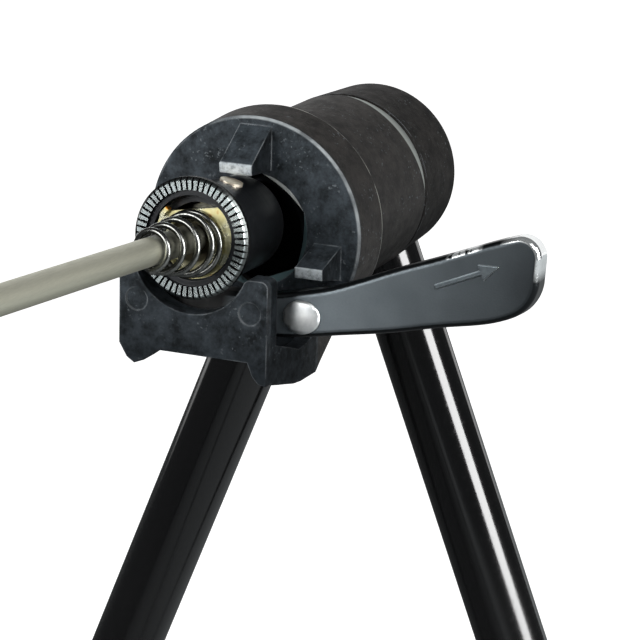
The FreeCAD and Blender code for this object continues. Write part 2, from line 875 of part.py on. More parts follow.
def biarc(p, u, q, v):
    """Two arcs that join p with direction u to q with direction v."""
    chord = q - p
    both = u + v
    a = 2 * (1 - u.dot(v))
    b = 2 * chord.dot(both)
    c = -chord.dot(chord)
    d = (-b + math.sqrt(b * b - 4 * a * c)) / (2 * a)
    first = p + u * d
    last = q - v * d
    joint = (first + last) * 0.5
    edges = []
    for start, corner, end in ((p, first, joint), (joint, last, q)):
        middle = (start + end) * 0.5
        half = start.distanceToPoint(end) / 2
        bend = math.acos(half / start.distanceToPoint(corner))
        on_arc = middle + (corner - middle).normalize() * (half * math.tan(bend / 2))
        edges.append(Part.Arc(start, on_arc, end).toShape())
    return edges


def conical_spring(start_x, direction):
    """One unbroken wire, wide at its seat and narrow at its free end."""
    quarter = math.pi / 2
    count = int(round(4 * spring_turns))
    angles = [quarter * k for k in range(count + 1)]
    points = [spring_point(a, start_x, direction) for a in angles]
    tangents = [spring_tangent(a, start_x, direction) for a in angles]
    lead_in = points[0] - tangents[0] * spring_wire
    lead_out = points[-1] + tangents[-1] * spring_wire
    path = [Part.LineSegment(lead_in, points[0]).toShape()]
    for k in range(count):
        path.extend(biarc(points[k], tangents[k], points[k + 1], tangents[k + 1]))
    path.append(Part.LineSegment(points[-1], lead_out).toShape())
    section = Part.Wire([Part.Circle(lead_in, tangents[0], spring_wire / 2).toShape()])
    return Part.Wire(path).makePipeShell([section], True, False)


def report_spring_gap():
    """Print the least gap between neighbouring turns, measured on points of the wire."""
    steps = 48
    total = int(steps * spring_turns)
    points = [spring_point(2 * math.pi * k / steps, 0, 1) for k in range(total + 1)]
    least = min(points[i].distanceToPoint(points[j]) - spring_wire
                for i in range(len(points)) for j in range(i + steps // 2, len(points)))
    print("spring: least gap between turns", round(least, 2), "mm")


# Adjusting nut

def adjusting_nut():
    """Round nut with a gripped rim and a domed end, on the rod's thread."""
    front = nut_face
    back = nut_face - nut_body_length
    body = turned([
        (front - nut_ring_thickness - fixed_gap, 0),
        (front - nut_ring_thickness - fixed_gap, nut_radius),
        (back + 5.0, nut_radius),
        (back + 1.6, nut_radius - 2.2),
        (back, nut_radius - 4.6),
        (back, 0),
    ])
    lip = rod(nut_ring_bore_radius - fixed_gap, front - nut_ring_thickness - 1,
              front - spring_room_depth)
    body = body.fuse(lip)
    for k in range(nut_grip_count):
        centre = polar(nut_radius + 0.55 * nut_grip_radius, 360.0 * k / nut_grip_count, back - 1)
        body = body.cut(Part.makeCylinder(nut_grip_radius, nut_body_length - nut_ring_thickness,
                                          centre, ALONG))
    return body.cut(rod(rod_thread_diameter / 2 + running_gap, back + rod_thread_inset - 1.0,
                        front + 1))


def nut_ring():
    """Toothed steel ring pressed on the nut."""
    return toothed_ring(nut_ring_radius, nut_ring_bore_radius, nut_face - nut_ring_thickness,
                        nut_face, nut_ring_bevel, nut_teeth, ring_tooth_depth, 1)


def main():
    os.makedirs("parts", exist_ok=True)
    front_pins = (front_socket_station - tube_radius - pin_overhang, barrel_end - 0.5)
    rear_pins = (knuckle_start + 0.4, rear_socket_station + tube_radius + 0.2)
    for side, word in ((1, "right"), (-1, "left")):
        save("head_body_" + word, set_head(head_body(), side))
        save("rear_knuckle_" + word, set_head(rear_knuckle(), side))
        save("pivot_bolt_" + word, set_head(pivot_bolt(), side))
        save("friction_washer_" + word, set_head(friction_washer(), side))
        save("nut_washer_" + word, set_head(nut_washer(), side))
        save("pivot_nut_" + word, set_head(pivot_nut(), side))
    save("front_leg_frame", leg_frame(front_socket_station, 1, front_pins[0] - 1,
                                      front_pins[1] + 1))
    save("rear_leg_frame", leg_frame(rear_socket_station, -1, rear_pins[0] - 1, rear_pins[1] + 1))
    front_pin = pin_hole(front_pins[0] + 0.3, front_pins[1], 1, pin_diameter / 2)
    rear_pin = pin_hole(rear_pins[0], rear_pins[1], -1, pin_diameter / 2)
    save("front_leg_pins", [set_head(front_pin, side) for side in (1, -1)])
    save("rear_leg_pins", [set_head(rear_pin, side) for side in (1, -1)])
    front_half = half_spacing + front_socket_station
    rear_half = half_spacing + rear_socket_station
    for side, word in ((1, "right"), (-1, "left")):
        save("front_foot_" + word, foot(front_half, front_foot_from_corner, 1, side))
        save("rear_foot_" + word, foot(rear_half, rear_foot_from_corner, -1, side))

    spring_start = seat_front - spring_end_gap
    save("skewer_rod", set_skewer(skewer_rod()))
    save("cam_housing", set_skewer(cam_housing()))
    save("serrated_ring", set_skewer(serrated_ring()))
    save("spring_seat", set_skewer(spring_seat()))
    save("cam_shaft", set_skewer(cam_shaft()))
    save("lever", set_skewer(lever()))
    save("lever_rivet", set_skewer(lever_rivet()))
    save("spring_right", set_skewer(conical_spring(spring_start, -1)))
    save("spring_left", set_skewer(conical_spring(nut_face - spring_room_depth + spring_end_gap, 1)))
    save("adjusting_nut", set_skewer(adjusting_nut()))
    save("nut_ring", set_skewer(nut_ring()))
    report_spring_gap()


main()
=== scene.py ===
# %% [markdown]
# The object is a folding stand for showing a bicycle. Two moulded heads stand on bent tube
# legs, and the rear wheel's quick-release skewer lies across them. The solids come from the
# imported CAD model, which is loaded as a fixed frame. This script gives every piece its finish,
# adds the details that are too fine for the solids, and sets the camera of the photograph.

# %% Load the frame
import math

import bmesh
import bpy
from mathutils import Matrix, Vector


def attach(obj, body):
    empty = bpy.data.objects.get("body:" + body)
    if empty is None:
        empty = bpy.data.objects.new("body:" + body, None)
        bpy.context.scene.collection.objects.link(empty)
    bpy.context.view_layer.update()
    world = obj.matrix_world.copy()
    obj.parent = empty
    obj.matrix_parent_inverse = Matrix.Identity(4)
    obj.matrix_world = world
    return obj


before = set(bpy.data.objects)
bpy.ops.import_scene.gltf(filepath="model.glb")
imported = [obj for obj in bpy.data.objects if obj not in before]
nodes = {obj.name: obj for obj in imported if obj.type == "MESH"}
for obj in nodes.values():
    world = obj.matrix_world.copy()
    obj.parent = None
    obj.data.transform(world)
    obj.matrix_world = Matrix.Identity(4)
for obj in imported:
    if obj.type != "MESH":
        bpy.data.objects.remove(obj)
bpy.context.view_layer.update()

# %% [markdown]
# Lengths below are written in millimetres, because that is how such a stand is measured, and
# turned to metres by one factor. Colours are written as the hex values that a paint or plating
# chart gives, and one function turns them to the linear values that the shaders need.

# %% Units and colours
mm = 0.001


def colour(hex_value, alpha=1.0):
    """Linear colour from an sRGB hex value such as "30343a"."""
    channels = [int(hex_value[i:i + 2], 16) / 255 for i in (0, 2, 4)]
    return tuple(c / 12.92 if c <= 0.04045 else ((c + 0.055) / 1.055) ** 2.4
                 for c in channels) + (alpha,)


def grain(size_mm):
    """Texture scale that gives a pattern this coarse, because textures count cells a metre."""
    return 1 / (size_mm * mm)


print("mid grey 808080 is", round(colour("808080")[0], 3), "linear")


# %% [markdown]
# The camera stands where the photographer stood: a little above the axle and close to the far
# head, looking along the axle and down. Its three directions and its place were worked out from
# the round edges of the disc and the barrel. The long lens gives the weak perspective.

# %% Camera
camera_right = Vector((0.391917, -0.919659, 0.025055))
camera_up = Vector((0.239889, 0.128445, 0.962266))
camera_back = Vector((-0.888175, -0.371118, 0.270956))
camera_place = Vector((-369.51, -206.40, 475.38)) * mm
focal_pixels = 2858
picture_side = 640
sensor_mm = 36.0

camera_data = bpy.data.cameras.new("photograph")
camera_data.sensor_width = sensor_mm
camera_data.lens = focal_pixels * sensor_mm / picture_side
camera_data.clip_start = 0.02
camera_data.clip_end = 50
camera = bpy.data.objects.new("photograph", camera_data)
turn = Matrix((camera_right, camera_up, camera_back)).transposed()
camera.matrix_world = Matrix.Translation(camera_place) @ turn.to_4x4()
bpy.context.scene.collection.objects.link(camera)
bpy.context.scene.camera = camera
print("lens", round(camera_data.lens, 1), "mm")

# %% [markdown]
# One small function adds a shader node with its settings, its fixed values and its links. Every
# finish below is built with it, so each reads as a list of what the surface is made of.

# %% Shader helper


def add(tree, kind, values=None, links=None, **settings):
    """Add a node, set its properties and fixed inputs, and link its other inputs."""
    node = tree.nodes.new(kind)
    for name, value in settings.items():
        setattr(node, name, value)
    for socket, value in (values or {}).items():
        node.inputs[socket].default_value = value
    for socket, source in (links or {}).items():
        tree.links.new(source, node.inputs[socket])
    return node


def finish(name, values):
    """New material with a principled shader; returns the material, its tree and the shader."""
    material = bpy.data.materials.new(name)
    material.use_nodes = True
    tree = material.node_tree
    shader = tree.nodes["Principled BSDF"]
    for socket, value in values.items():
        shader.inputs[socket].default_value = value
    return material, tree, shader


# %% [markdown]
# The patterns share a few more helpers: the place on the object, clouds of a real size, a value
# stretched between two limits, a mix of two colours, relief, and the edges of a piece.

# %% Pattern helpers


def place(tree):
    """Position on the object in metres, which no pose changes."""
    return add(tree, "ShaderNodeTexCoord").outputs["Object"]


def noise(tree, where, size_mm, detail=2.0, roughness=0.5):
    """Cloudy pattern with cells of a real size."""
    return add(tree, "ShaderNodeTexNoise",
               {"Scale": grain(size_mm), "Detail": detail, "Roughness": roughness},
               {"Vector": where}).outputs["Fac"]


def steps(tree, source, low, high, to_low=0.0, to_high=1.0):
    """Stretch a value from one range to another, and hold it at the ends."""
    return add(tree, "ShaderNodeMapRange",
               {"From Min": low, "From Max": high, "To Min": to_low, "To Max": to_high},
               {"Value": source}).outputs["Result"]


def blend_colours(tree, share, first, second):
    """Mix two colours; each is a hex value or another node's colour."""
    values, links = {}, {0: share}
    for socket, source in ((6, first), (7, second)):
        if isinstance(source, str):
            values[socket] = colour(source)
        else:
            links[socket] = source
    return add(tree, "ShaderNodeMix", values, links, data_type="RGBA").outputs[2]


def relief(tree, height, depth_mm, under=None):
    """Surface relief from a height between 0 and 1."""
    links = {"Height": height}
    if under is not None:
        links["Normal"] = under
    return add(tree, "ShaderNodeBump", {"Strength": 1.0, "Distance": depth_mm * mm},
               links).outputs["Normal"]


def edges(tree, radius_mm):
    """Softened normal of the edges, and how close a point is to one of them."""
    soft = add(tree, "ShaderNodeBevel", {"Radius": radius_mm * mm}, samples=6).outputs["Normal"]
    flat = add(tree, "ShaderNodeNewGeometry").outputs["Normal"]
    cosine = add(tree, "ShaderNodeVectorMath", None, {0: soft, 1: flat},
                 operation="DOT_PRODUCT").outputs["Value"]
    return soft, steps(tree, cosine, 0.995, 0.86)


# %% [markdown]
# The heads are moulded in nylon filled with short glass fibres. The melt leaves a mottled skin:
# dark where the resin covers the fibres, paler in clouds of a millimetre or two where they show,
# with a few bright flecks. The plate and the disc look blue-grey and the barrel a little browner.
# Two helpers mark a band of a value and multiply two masks.

# %% Masks
axle_height_mm = 350.0
disc_start_mm, rim_mm, disc_end_mm = 92.1, 92.7, 102.2
lug_tip_mm = 83.4


def between(tree, source, low, high, soft):
    """1 where a value lies between two limits, with soft ends."""
    rise = steps(tree, source, low - soft, low + soft)
    fall = steps(tree, source, high + soft, high - soft)
    return add(tree, "ShaderNodeMath", None, {0: rise, 1: fall},
               operation="MULTIPLY").outputs["Value"]


def times(tree, first, second):
    """Product of two values."""
    return add(tree, "ShaderNodeMath", None, {0: first, 1: second},
               operation="MULTIPLY").outputs["Value"]


print("disc from", disc_start_mm, "to", disc_end_mm, "mm from the middle of the axle")

# %% [markdown]
# Highlights are painted on the bevel of the hexagonal pocket, on the disc's front edge and on the
# barrel's shoulder. Each is found by its distance from the pivot and along the axle, so the mark
# follows the solid.

# %% Painted highlights on the bevels


def bevel_highlights(tree, where, away):
    """Masks of painted highlights: the pocket's bevel, its upper part, the disc's front bevel, and the
    side that the lamps light.
    """
    centred = add(tree, "ShaderNodeVectorMath", {1: (0, 0, -axle_height_mm * mm)}, {0: where},
                  operation="ADD").outputs["Vector"]
    across = add(tree, "ShaderNodeVectorMath", {1: (0, 1, 1)}, {0: centred},
                 operation="MULTIPLY").outputs["Vector"]
    radius = add(tree, "ShaderNodeVectorMath", None, {0: across},
                 operation="LENGTH").outputs["Value"]
    ring = between(tree, radius, 9.2 * mm, 10.55 * mm, 0.05 * mm)
    depth = between(tree, away, (disc_start_mm + 0.04) * mm, (disc_start_mm + 1.5) * mm,
                    0.02 * mm)
    height = add(tree, "ShaderNodeSeparateXYZ", None, {"Vector": centred}).outputs["Z"]
    upper = steps(tree, height, 3.6 * mm, 4.4 * mm)
    edge = times(tree, steps(tree, radius, 20.3 * mm, 20.6 * mm),
                 steps(tree, away, (disc_start_mm + 0.5) * mm, (disc_start_mm + 0.3) * mm))
    side = add(tree, "ShaderNodeSeparateXYZ", None, {"Vector": centred}).outputs["Y"]
    lit = times(tree, steps(tree, height, -9.0 * mm, 2.0 * mm),
                steps(tree, side, 11.0 * mm, 2.0 * mm))
    return times(tree, ring, depth), upper, edge, lit


def shoulder_highlight(tree, where, away):
    """Painted highlight on the rounded shoulder at the barrel's end: a crescent, widest half way up the
    side.
    """
    parts = add(tree, "ShaderNodeSeparateXYZ", None, {"Vector": where})
    height = add(tree, "ShaderNodeMath", {1: -axle_height_mm * mm}, {0: parts.outputs["Z"]},
                 operation="ADD").outputs["Value"]
    corner = times(tree, parts.outputs["Y"], height)
    inward = add(tree, "ShaderNodeMath", {1: -14.85}, {0: corner, 2: away},
                 operation="MULTIPLY_ADD").outputs["Value"]
    inner = times(tree, steps(tree, inward, 132.9 * mm, 133.1 * mm),
                  steps(tree, inward, 133.4 * mm, 135.6 * mm, 1.0, 0.3))
    outer = times(tree, steps(tree, away, 133.1 * mm, 132.9 * mm),
                  steps(tree, height, 0.0, 1.5 * mm))
    return times(tree, inner, outer)


# %% [markdown]
# Shade is painted low on the plate, on the block's side wall and under the barrel. There the skin
# is darker and hardly shines.

# %% Painted shade


def painted_shade(tree, where, away):
    """How much painted shade darkens the skin: low on the plate, behind it, under the barrel."""
    normal = add(tree, "ShaderNodeNewGeometry").outputs["Normal"]
    local = add(tree, "ShaderNodeVectorTransform", None, {"Vector": normal},
                vector_type="NORMAL", convert_from="WORLD", convert_to="OBJECT")
    sideways = add(tree, "ShaderNodeSeparateXYZ", None, {"Vector": local.outputs["Vector"]})
    wall = steps(tree, sideways.outputs["Y"], -0.6, -0.9)
    nearer = between(tree, away, 71.0 * mm, (disc_start_mm - 0.3) * mm, 0.2 * mm)
    wall = times(tree, times(tree, wall, nearer), steps(tree, away, 84 * mm, 94 * mm, 0.6, 0.3))
    height = add(tree, "ShaderNodeSeparateXYZ", None, {"Vector": where}).outputs["Z"]
    low = times(tree, steps(tree, away, 73.0 * mm, 72.4 * mm),
                steps(tree, height, 346 * mm, 330 * mm, 0.04, 0.62))
    under = times(tree, steps(tree, away, 101.8 * mm, 102.3 * mm),
                  steps(tree, height, 351 * mm, 341 * mm, 0.0, 0.5))
    most = add(tree, "ShaderNodeMath", None, {0: low, 1: under}, operation="MAXIMUM")
    return add(tree, "ShaderNodeMath", None, {0: wall, 1: most.outputs["Value"]},
               operation="MAXIMUM", use_clamp=True).outputs["Value"]


# %% [markdown]
# The nylon itself puts these together: clouds and flecks first, then the edge wear and the painted
# highlights, and the painted shade last, because it darkens all below it. The knuckle is browner
# than the head and shines less.

# %% Glass-filled nylon


def moulded_nylon(name, front_hexes, back_hexes, change_mm, sheen):
    """Charcoal nylon whose tint changes at a distance along the axle."""
    material, tree, shader = finish(name, {"IOR": 1.53})
    where = place(tree)
    along = add(tree, "ShaderNodeSeparateXYZ", None, {"Vector": where}).outputs["X"]
    away = add(tree, "ShaderNodeMath", None, {0: along}, operation="ABSOLUTE").outputs["Value"]
    back = steps(tree, away, (change_mm - 0.3) * mm, (change_mm + 0.3) * mm)
    dark = blend_colours(tree, back, front_hexes[0], back_hexes[0])
    light = blend_colours(tree, back, front_hexes[1], back_hexes[1])
    cloud = noise(tree, where, 3.2, 5.0, 0.72)
    tint = blend_colours(tree, steps(tree, cloud, 0.36, 0.66), dark, light)
    fleck = steps(tree, noise(tree, where, 0.6, 1.0), 0.64, 0.74)
    patch = steps(tree, noise(tree, where, 5.0), 0.46, 0.62)
    tint = blend_colours(tree, times(tree, fleck, patch), tint, "5c6266")
    soft, near = edges(tree, 0.45)
    # Random patches set how strong the paler edges are; the paler edges are partly edge wear and partly
    # a painted highlight.
    wear_and_shine = steps(tree, noise(tree, where, 4.0, 3.0), 0.40, 0.60, 0.04, 0.9)
    tint = blend_colours(tree, times(tree, near, wear_and_shine), tint, "8a9094")
    # Pale speckled patch on the upper part of the lug's tip.
    tip_speckle = steps(tree, noise(tree, where, 1.1, 3.0, 0.7), 0.34, 0.55, 0.45, 1.0)
    lug = between(tree, away, (lug_tip_mm - 1.35) * mm, (lug_tip_mm + 0.35) * mm, 0.15 * mm)
    height = add(tree, "ShaderNodeSeparateXYZ", None, {"Vector": where}).outputs["Z"]
    lug = times(tree, lug, steps(tree, height, 343.2 * mm, 343.6 * mm))
    tint = blend_colours(tree, times(tree, lug, tip_speckle), tint, "bcc4c8")
    rim, upper, edge, lit = bevel_highlights(tree, where, away)
    # Painted highlight: a pale line on the disc's front edge, on its lit side.
    lit_edge_shine = times(tree, lit, steps(tree, wear_and_shine, 0, 1, 0.3, 0.9))
    tint = blend_colours(tree, times(tree, edge, lit_edge_shine), tint, "aab0b2")
    # Painted highlight on the pocket's bevel: near white on its upper part, teal below.
    painted_highlight = blend_colours(tree, upper, "5c7478", "f0f6f2")
    tint = blend_colours(tree, times(tree, rim, steps(tree, wear_and_shine, 0, 1, 0.6, 1.0)), tint,
                         painted_highlight)
    # Painted highlight: a pale line along the disc's rear edge, on its lit side.
    line = between(tree, away, (disc_end_mm - 0.45) * mm, disc_end_mm * mm, 0.06 * mm)
    tint = blend_colours(tree, times(tree, line, times(tree, lit, wear_and_shine)), tint, "c8c8be")
    # Painted highlight: a pale crescent on the barrel's shoulder.
    tint = blend_colours(tree, shoulder_highlight(tree, where, away), tint, "a6aca8")
    # Painted shade: the skin darkens and loses its sheen low on the plate, on the side wall and under
    # the barrel.
    shade_share = painted_shade(tree, where, away)
    tint = blend_colours(tree, shade_share, tint, "0c0d0e")
    tree.links.new(steps(tree, shade_share, 0, 0.6, sheen, 0.02), shader.inputs["Specular IOR Level"])
    tree.links.new(tint, shader.inputs["Base Color"])
    tree.links.new(steps(tree, cloud, 0.3, 0.7, 0.64, 0.50), shader.inputs["Roughness"])
    skin = noise(tree, where, 0.5, 3.0, 0.7)
    tree.links.new(relief(tree, skin, 0.05, soft), shader.inputs["Normal"])
    return material


front_hexes, back_hexes = ("161b1e", "3d444a"), ("1c1a18", "34302d")
head_nylon = moulded_nylon("Glass-filled nylon, head", front_hexes, back_hexes, rim_mm,
                           0.15)
knuckle_hexes = ("12100e", "24201d")
knuckle_nylon = moulded_nylon("Glass-filled nylon, knuckle", knuckle_hexes, knuckle_hexes,
                              rim_mm, 0.07)
print("made", head_nylon.name, "and", knuckle_nylon.name)

# %% [markdown]
# The legs are steel tube with a gloss black powder coat. Such a coat melts and flows in the
# oven, so it is glossy with a faint orange-peel ripple about 3 mm across, and a little dust
# dulls it in places. From about 60 mm below the axle down, the gloss is a little hazier.

# %% Powder-coated steel tube


def powder_coat():
    """Gloss black coat with orange peel and dust, hazier lower down."""
    material, tree, shader = finish("Powder-coated steel, gloss black", {
        "Base Color": colour("0a0a0b"), "IOR": 1.52})
    where = place(tree)
    peel = noise(tree, where, 3.0, 1.0)
    dust = steps(tree, noise(tree, where, 1.2, 3.0), 0.55, 0.8, 0.12, 0.20)
    height = add(tree, "ShaderNodeSeparateXYZ", None, {"Vector": where}).outputs["Z"]
    haze = add(tree, "ShaderNodeMath", None,
               {0: dust, 1: steps(tree, height, 288 * mm, 266 * mm, 0.0, 0.08)},
               operation="ADD").outputs["Value"]
    tree.links.new(haze, shader.inputs["Roughness"])
    tree.links.new(relief(tree, peel, 0.006), shader.inputs["Normal"])
    return material


tube_coat = powder_coat()
print("made", tube_coat.name)

# %% [markdown]
# The skewer lies a few degrees off level, so its pieces need their own axis. Two helpers tell how
# straight a surface looks along it, and how far a point is from it.

# %% The skewer's axis
skewer_pitch = math.radians(4.73)
skewer_yaw = math.radians(0.68)
skewer_frame = (Matrix.Translation(Vector((70, 1.81, 352.99)) * mm)
                @ Matrix.Rotation(skewer_yaw, 4, "Z") @ Matrix.Rotation(skewer_pitch, 4, "Y"))
skewer_axis = (skewer_frame.to_3x3() @ Vector((1, 0, 0))).normalized()


def facing_axle(tree):
    """1 where a surface looks along the skewer, 0 where it looks across it."""
    normal = add(tree, "ShaderNodeNewGeometry").outputs["Normal"]
    local = add(tree, "ShaderNodeVectorTransform", None, {"Vector": normal},
                vector_type="NORMAL", convert_from="WORLD", convert_to="OBJECT")
    along = add(tree, "ShaderNodeVectorMath", {1: skewer_axis}, {0: local.outputs["Vector"]},
                operation="DOT_PRODUCT").outputs["Value"]
    return add(tree, "ShaderNodeMath", None, {0: along}, operation="ABSOLUTE").outputs["Value"]


def off_axle(tree, where):
    """Distance from the skewer's axis in metres."""
    about = add(tree, "ShaderNodeVectorMath", {1: -skewer_frame.to_translation()},
                {0: where}, operation="ADD").outputs["Vector"]
    beside = add(tree, "ShaderNodeVectorMath", {1: skewer_axis}, {0: about},
                 operation="CROSS_PRODUCT").outputs["Vector"]
    return add(tree, "ShaderNodeVectorMath", None, {0: beside},
               operation="LENGTH").outputs["Value"]


print("skewer tilted", round(math.degrees(skewer_pitch), 2), "degrees")

# %% [markdown]
# The rod's far end has a rolled M5 thread, 0.8 mm from crest to crest. It is too fine for the
# solids, so it is relief: a wave that follows the length and the angle round the rod.

# %% Thread
thread_pitch_mm = 0.8
thread_start_mm = -121


def thread_height(tree, where):
    """Height of the M5 thread on the rod's far end, from 0 in the root to 1 on the crest."""
    about = add(tree, "ShaderNodeVectorMath", {1: -skewer_frame.to_translation()},
                {0: where}, operation="ADD").outputs["Vector"]
    turn_axes = [(skewer_frame.to_3x3() @ Vector(axis)).normalized()
                 for axis in ((1, 0, 0), (0, 1, 0), (0, 0, 1))]
    along, side, up = [add(tree, "ShaderNodeVectorMath", {1: axis}, {0: about},
                           operation="DOT_PRODUCT").outputs["Value"] for axis in turn_axes]
    angle = add(tree, "ShaderNodeMath", None, {0: side, 1: up},
                operation="ARCTAN2").outputs["Value"]
    phase = add(tree, "ShaderNodeMath", {1: 2 * math.pi / (thread_pitch_mm * mm)}, {0: along, 2: angle},
                operation="MULTIPLY_ADD").outputs["Value"]
    wave = add(tree, "ShaderNodeMath", None, {0: phase}, operation="SINE").outputs["Value"]
    threaded = steps(tree, along, thread_start_mm * mm, (thread_start_mm - 1) * mm)
    cut = times(tree, steps(tree, wave, 0.7, -0.7), threaded)
    return steps(tree, cut, 0, 1, 1, 0)


print("thread pitch", thread_pitch_mm, "mm")

# %% [markdown]
# The small metal pieces each have their own plating, and one function makes them all from two
# tints, a roughness range and the size of the clouds. Chrome is clear and smooth, zinc duller and
# cloudier, and the drawn rod has its pattern pulled out along its length.

# %% Plated metal


def plated(name, main_hex, other_hex, rough_low, rough_high, cloud_mm, relief_mm=0.0,
           stretch=(1, 1, 1), side_hex=None, darkening=None, shape=None):
    """Metal with a clouded tint and roughness; stretch draws the pattern out along an axis,
    side_hex is the tint of what doesn't face along the skewer, darkening is a function that
    gives the share of a dark brown tint at a place, and shape one that gives a height of 0.3 mm relief."""
    material, tree, shader = finish(name, {"Metallic": 1.0})
    where = add(tree, "ShaderNodeMapping", {"Scale": stretch}, {"Vector": place(tree)})
    cloud = noise(tree, where.outputs["Vector"], cloud_mm, 3.0, 0.6)
    tint = blend_colours(tree, steps(tree, cloud, 0.35, 0.68), main_hex, other_hex)
    if side_hex is not None:
        tint = blend_colours(tree, steps(tree, facing_axle(tree), 0.72, 0.62), tint, side_hex)
    # Painted shade on the rod and a darker outer edge on the rings: the tint turns dark brown where
    # darkening asks.
    if darkening is not None:
        tint = blend_colours(tree, darkening(tree, place(tree)), tint, "26241e")
    tree.links.new(tint, shader.inputs["Base Color"])
    tree.links.new(steps(tree, cloud, 0.3, 0.7, rough_low, rough_high),
                   shader.inputs["Roughness"])
    bumps = relief(tree, cloud, relief_mm) if relief_mm > 0 else None
    if shape is not None:
        bumps = relief(tree, shape(tree, place(tree)), 0.3, bumps)
    if bumps is not None:
        tree.links.new(bumps, shader.inputs["Normal"])
    return material


# %% [markdown]
# The toothed rings are darker towards their outer edge, and shade is painted on the rod below the
# springs. The rivet's cap is made a little dull, because a smoother one glittered in small specks.

# %% Plated pieces, with painted shade on the rod


def ring_edge_dark(tree, where):
    """Darker towards the outer edge of the toothed rings."""
    return steps(tree, off_axle(tree, where), 10.35 * mm, 10.6 * mm, 0.0, 0.8)


def spring_shade(tree, where):
    """Painted shade on the rod where the springs cover it."""
    along = add(tree, "ShaderNodeSeparateXYZ", None, {"Vector": where}).outputs["X"]
    away = add(tree, "ShaderNodeMath", None, {0: along}, operation="ABSOLUTE").outputs["Value"]
    patch = noise(tree, where, 2.5, 2.0)
    return times(tree, steps(tree, away, 51.5 * mm, 54.5 * mm),
                 steps(tree, patch, 0.3, 0.6, 0.95, 0.6))


# Painted reflection: the ring's sides, which don't face along the skewer, are made dark.
ring_chrome = plated("Chromium-plated steel, pressed", "d3dbdb", "b4bfc0", 0.20, 0.30, 1.5,
                     side_hex="3c4143", darkening=ring_edge_dark)
rivet_chrome = plated("Chromium-plated rivet", "f2f4f4", "c2c6c7", 0.38, 0.44, 3.4)
cam_steel = plated("Chromium-plated steel, warm", "f8eedd", "ecdfc6", 0.36, 0.46, 3.0)
bright_zinc = plated("Zinc-plated steel", "b4b7ba", "989ca0", 0.24, 0.40, 0.8, 0.006)
drawn_rod = plated("Satin nickel-plated rod", "c0bfae", "b7b6a6", 0.40, 0.48, 0.35, 0.002,
                   (0.1, 1, 1), darkening=spring_shade, shape=thread_height)
spring_wire = plated("Drawn spring wire", "868784", "5e5f5c", 0.16, 0.26, 0.5)
black_oxide = plated("Black oxide steel", "17181a", "0e0f10", 0.30, 0.45, 0.9, 0.004)
plated_metals = (ring_chrome, rivet_chrome, cam_steel, bright_zinc, drawn_rod, spring_wire,
                 black_oxide)
print("made", ", ".join(metal.name for metal in plated_metals))

# %% [markdown]
# The plate that the spring presses on is zinc with a yellow passivated film. The film is pale and
# nearly white where it is thin, orange where it is thick, and dark grease sits round the rod.

# %% Yellow zinc plate


def passivated_zinc():
    """Zinc under a yellow film, with dark grease round the rod."""
    material, tree, shader = finish("Yellow passivated zinc", {"Metallic": 1.0})
    where = place(tree)
    film = noise(tree, where, 3.0, 2.0)
    tint = blend_colours(tree, steps(tree, film, 0.35, 0.55), "f2f0d4", "d9d09a")
    tint = blend_colours(tree, steps(tree, film, 0.62, 0.70), tint, "c07a1c")
    darkened = steps(tree, off_axle(tree, where), 5.6 * mm, 4.2 * mm)
    tint = blend_colours(tree, darkened, tint, "3b382c")
    tree.links.new(tint, shader.inputs["Base Color"])
    tree.links.new(steps(tree, film, 0.3, 0.7, 0.22, 0.38), shader.inputs["Roughness"])
    return material


yellow_zinc = passivated_zinc()
print("made", yellow_zinc.name)

# %% [markdown]
# The cam's cup and the adjusting nut are black anodised aluminium. The dye sits in the oxide
# skin, so the metal below gives a soft sheen instead of a paint's gloss. Bare metal shows at
# the sharpest edges.

# %% Anodised aluminium


def anodised():
    """Black dyed oxide skin with turning lines and paler edges."""
    material, tree, shader = finish("Black anodised aluminium", {
        "Metallic": 0.35, "Coat Weight": 0.25, "Coat Roughness": 0.2})
    where = place(tree)
    lines = add(tree, "ShaderNodeMapping", {"Scale": (1.0, 0.05, 0.05)}, {"Vector": where})
    turned = noise(tree, lines.outputs["Vector"], 0.3, 2.0)
    tint = blend_colours(tree, steps(tree, turned, 0.3, 0.7), "121418", "1a1d21")
    soft, near = edges(tree, 0.15)
    wear_and_shine = add(tree, "ShaderNodeMath", {1: 0.4}, {0: near},
                 operation="MULTIPLY").outputs["Value"]
    tint = blend_colours(tree, wear_and_shine, tint, "6d7276")
    tree.links.new(tint, shader.inputs["Base Color"])
    tree.links.new(steps(tree, turned, 0.3, 0.7, 0.28, 0.40), shader.inputs["Roughness"])
    tree.links.new(relief(tree, turned, 0.004, soft), shader.inputs["Normal"])
    return material


black_anodised = anodised()
print("made", black_anodised.name)
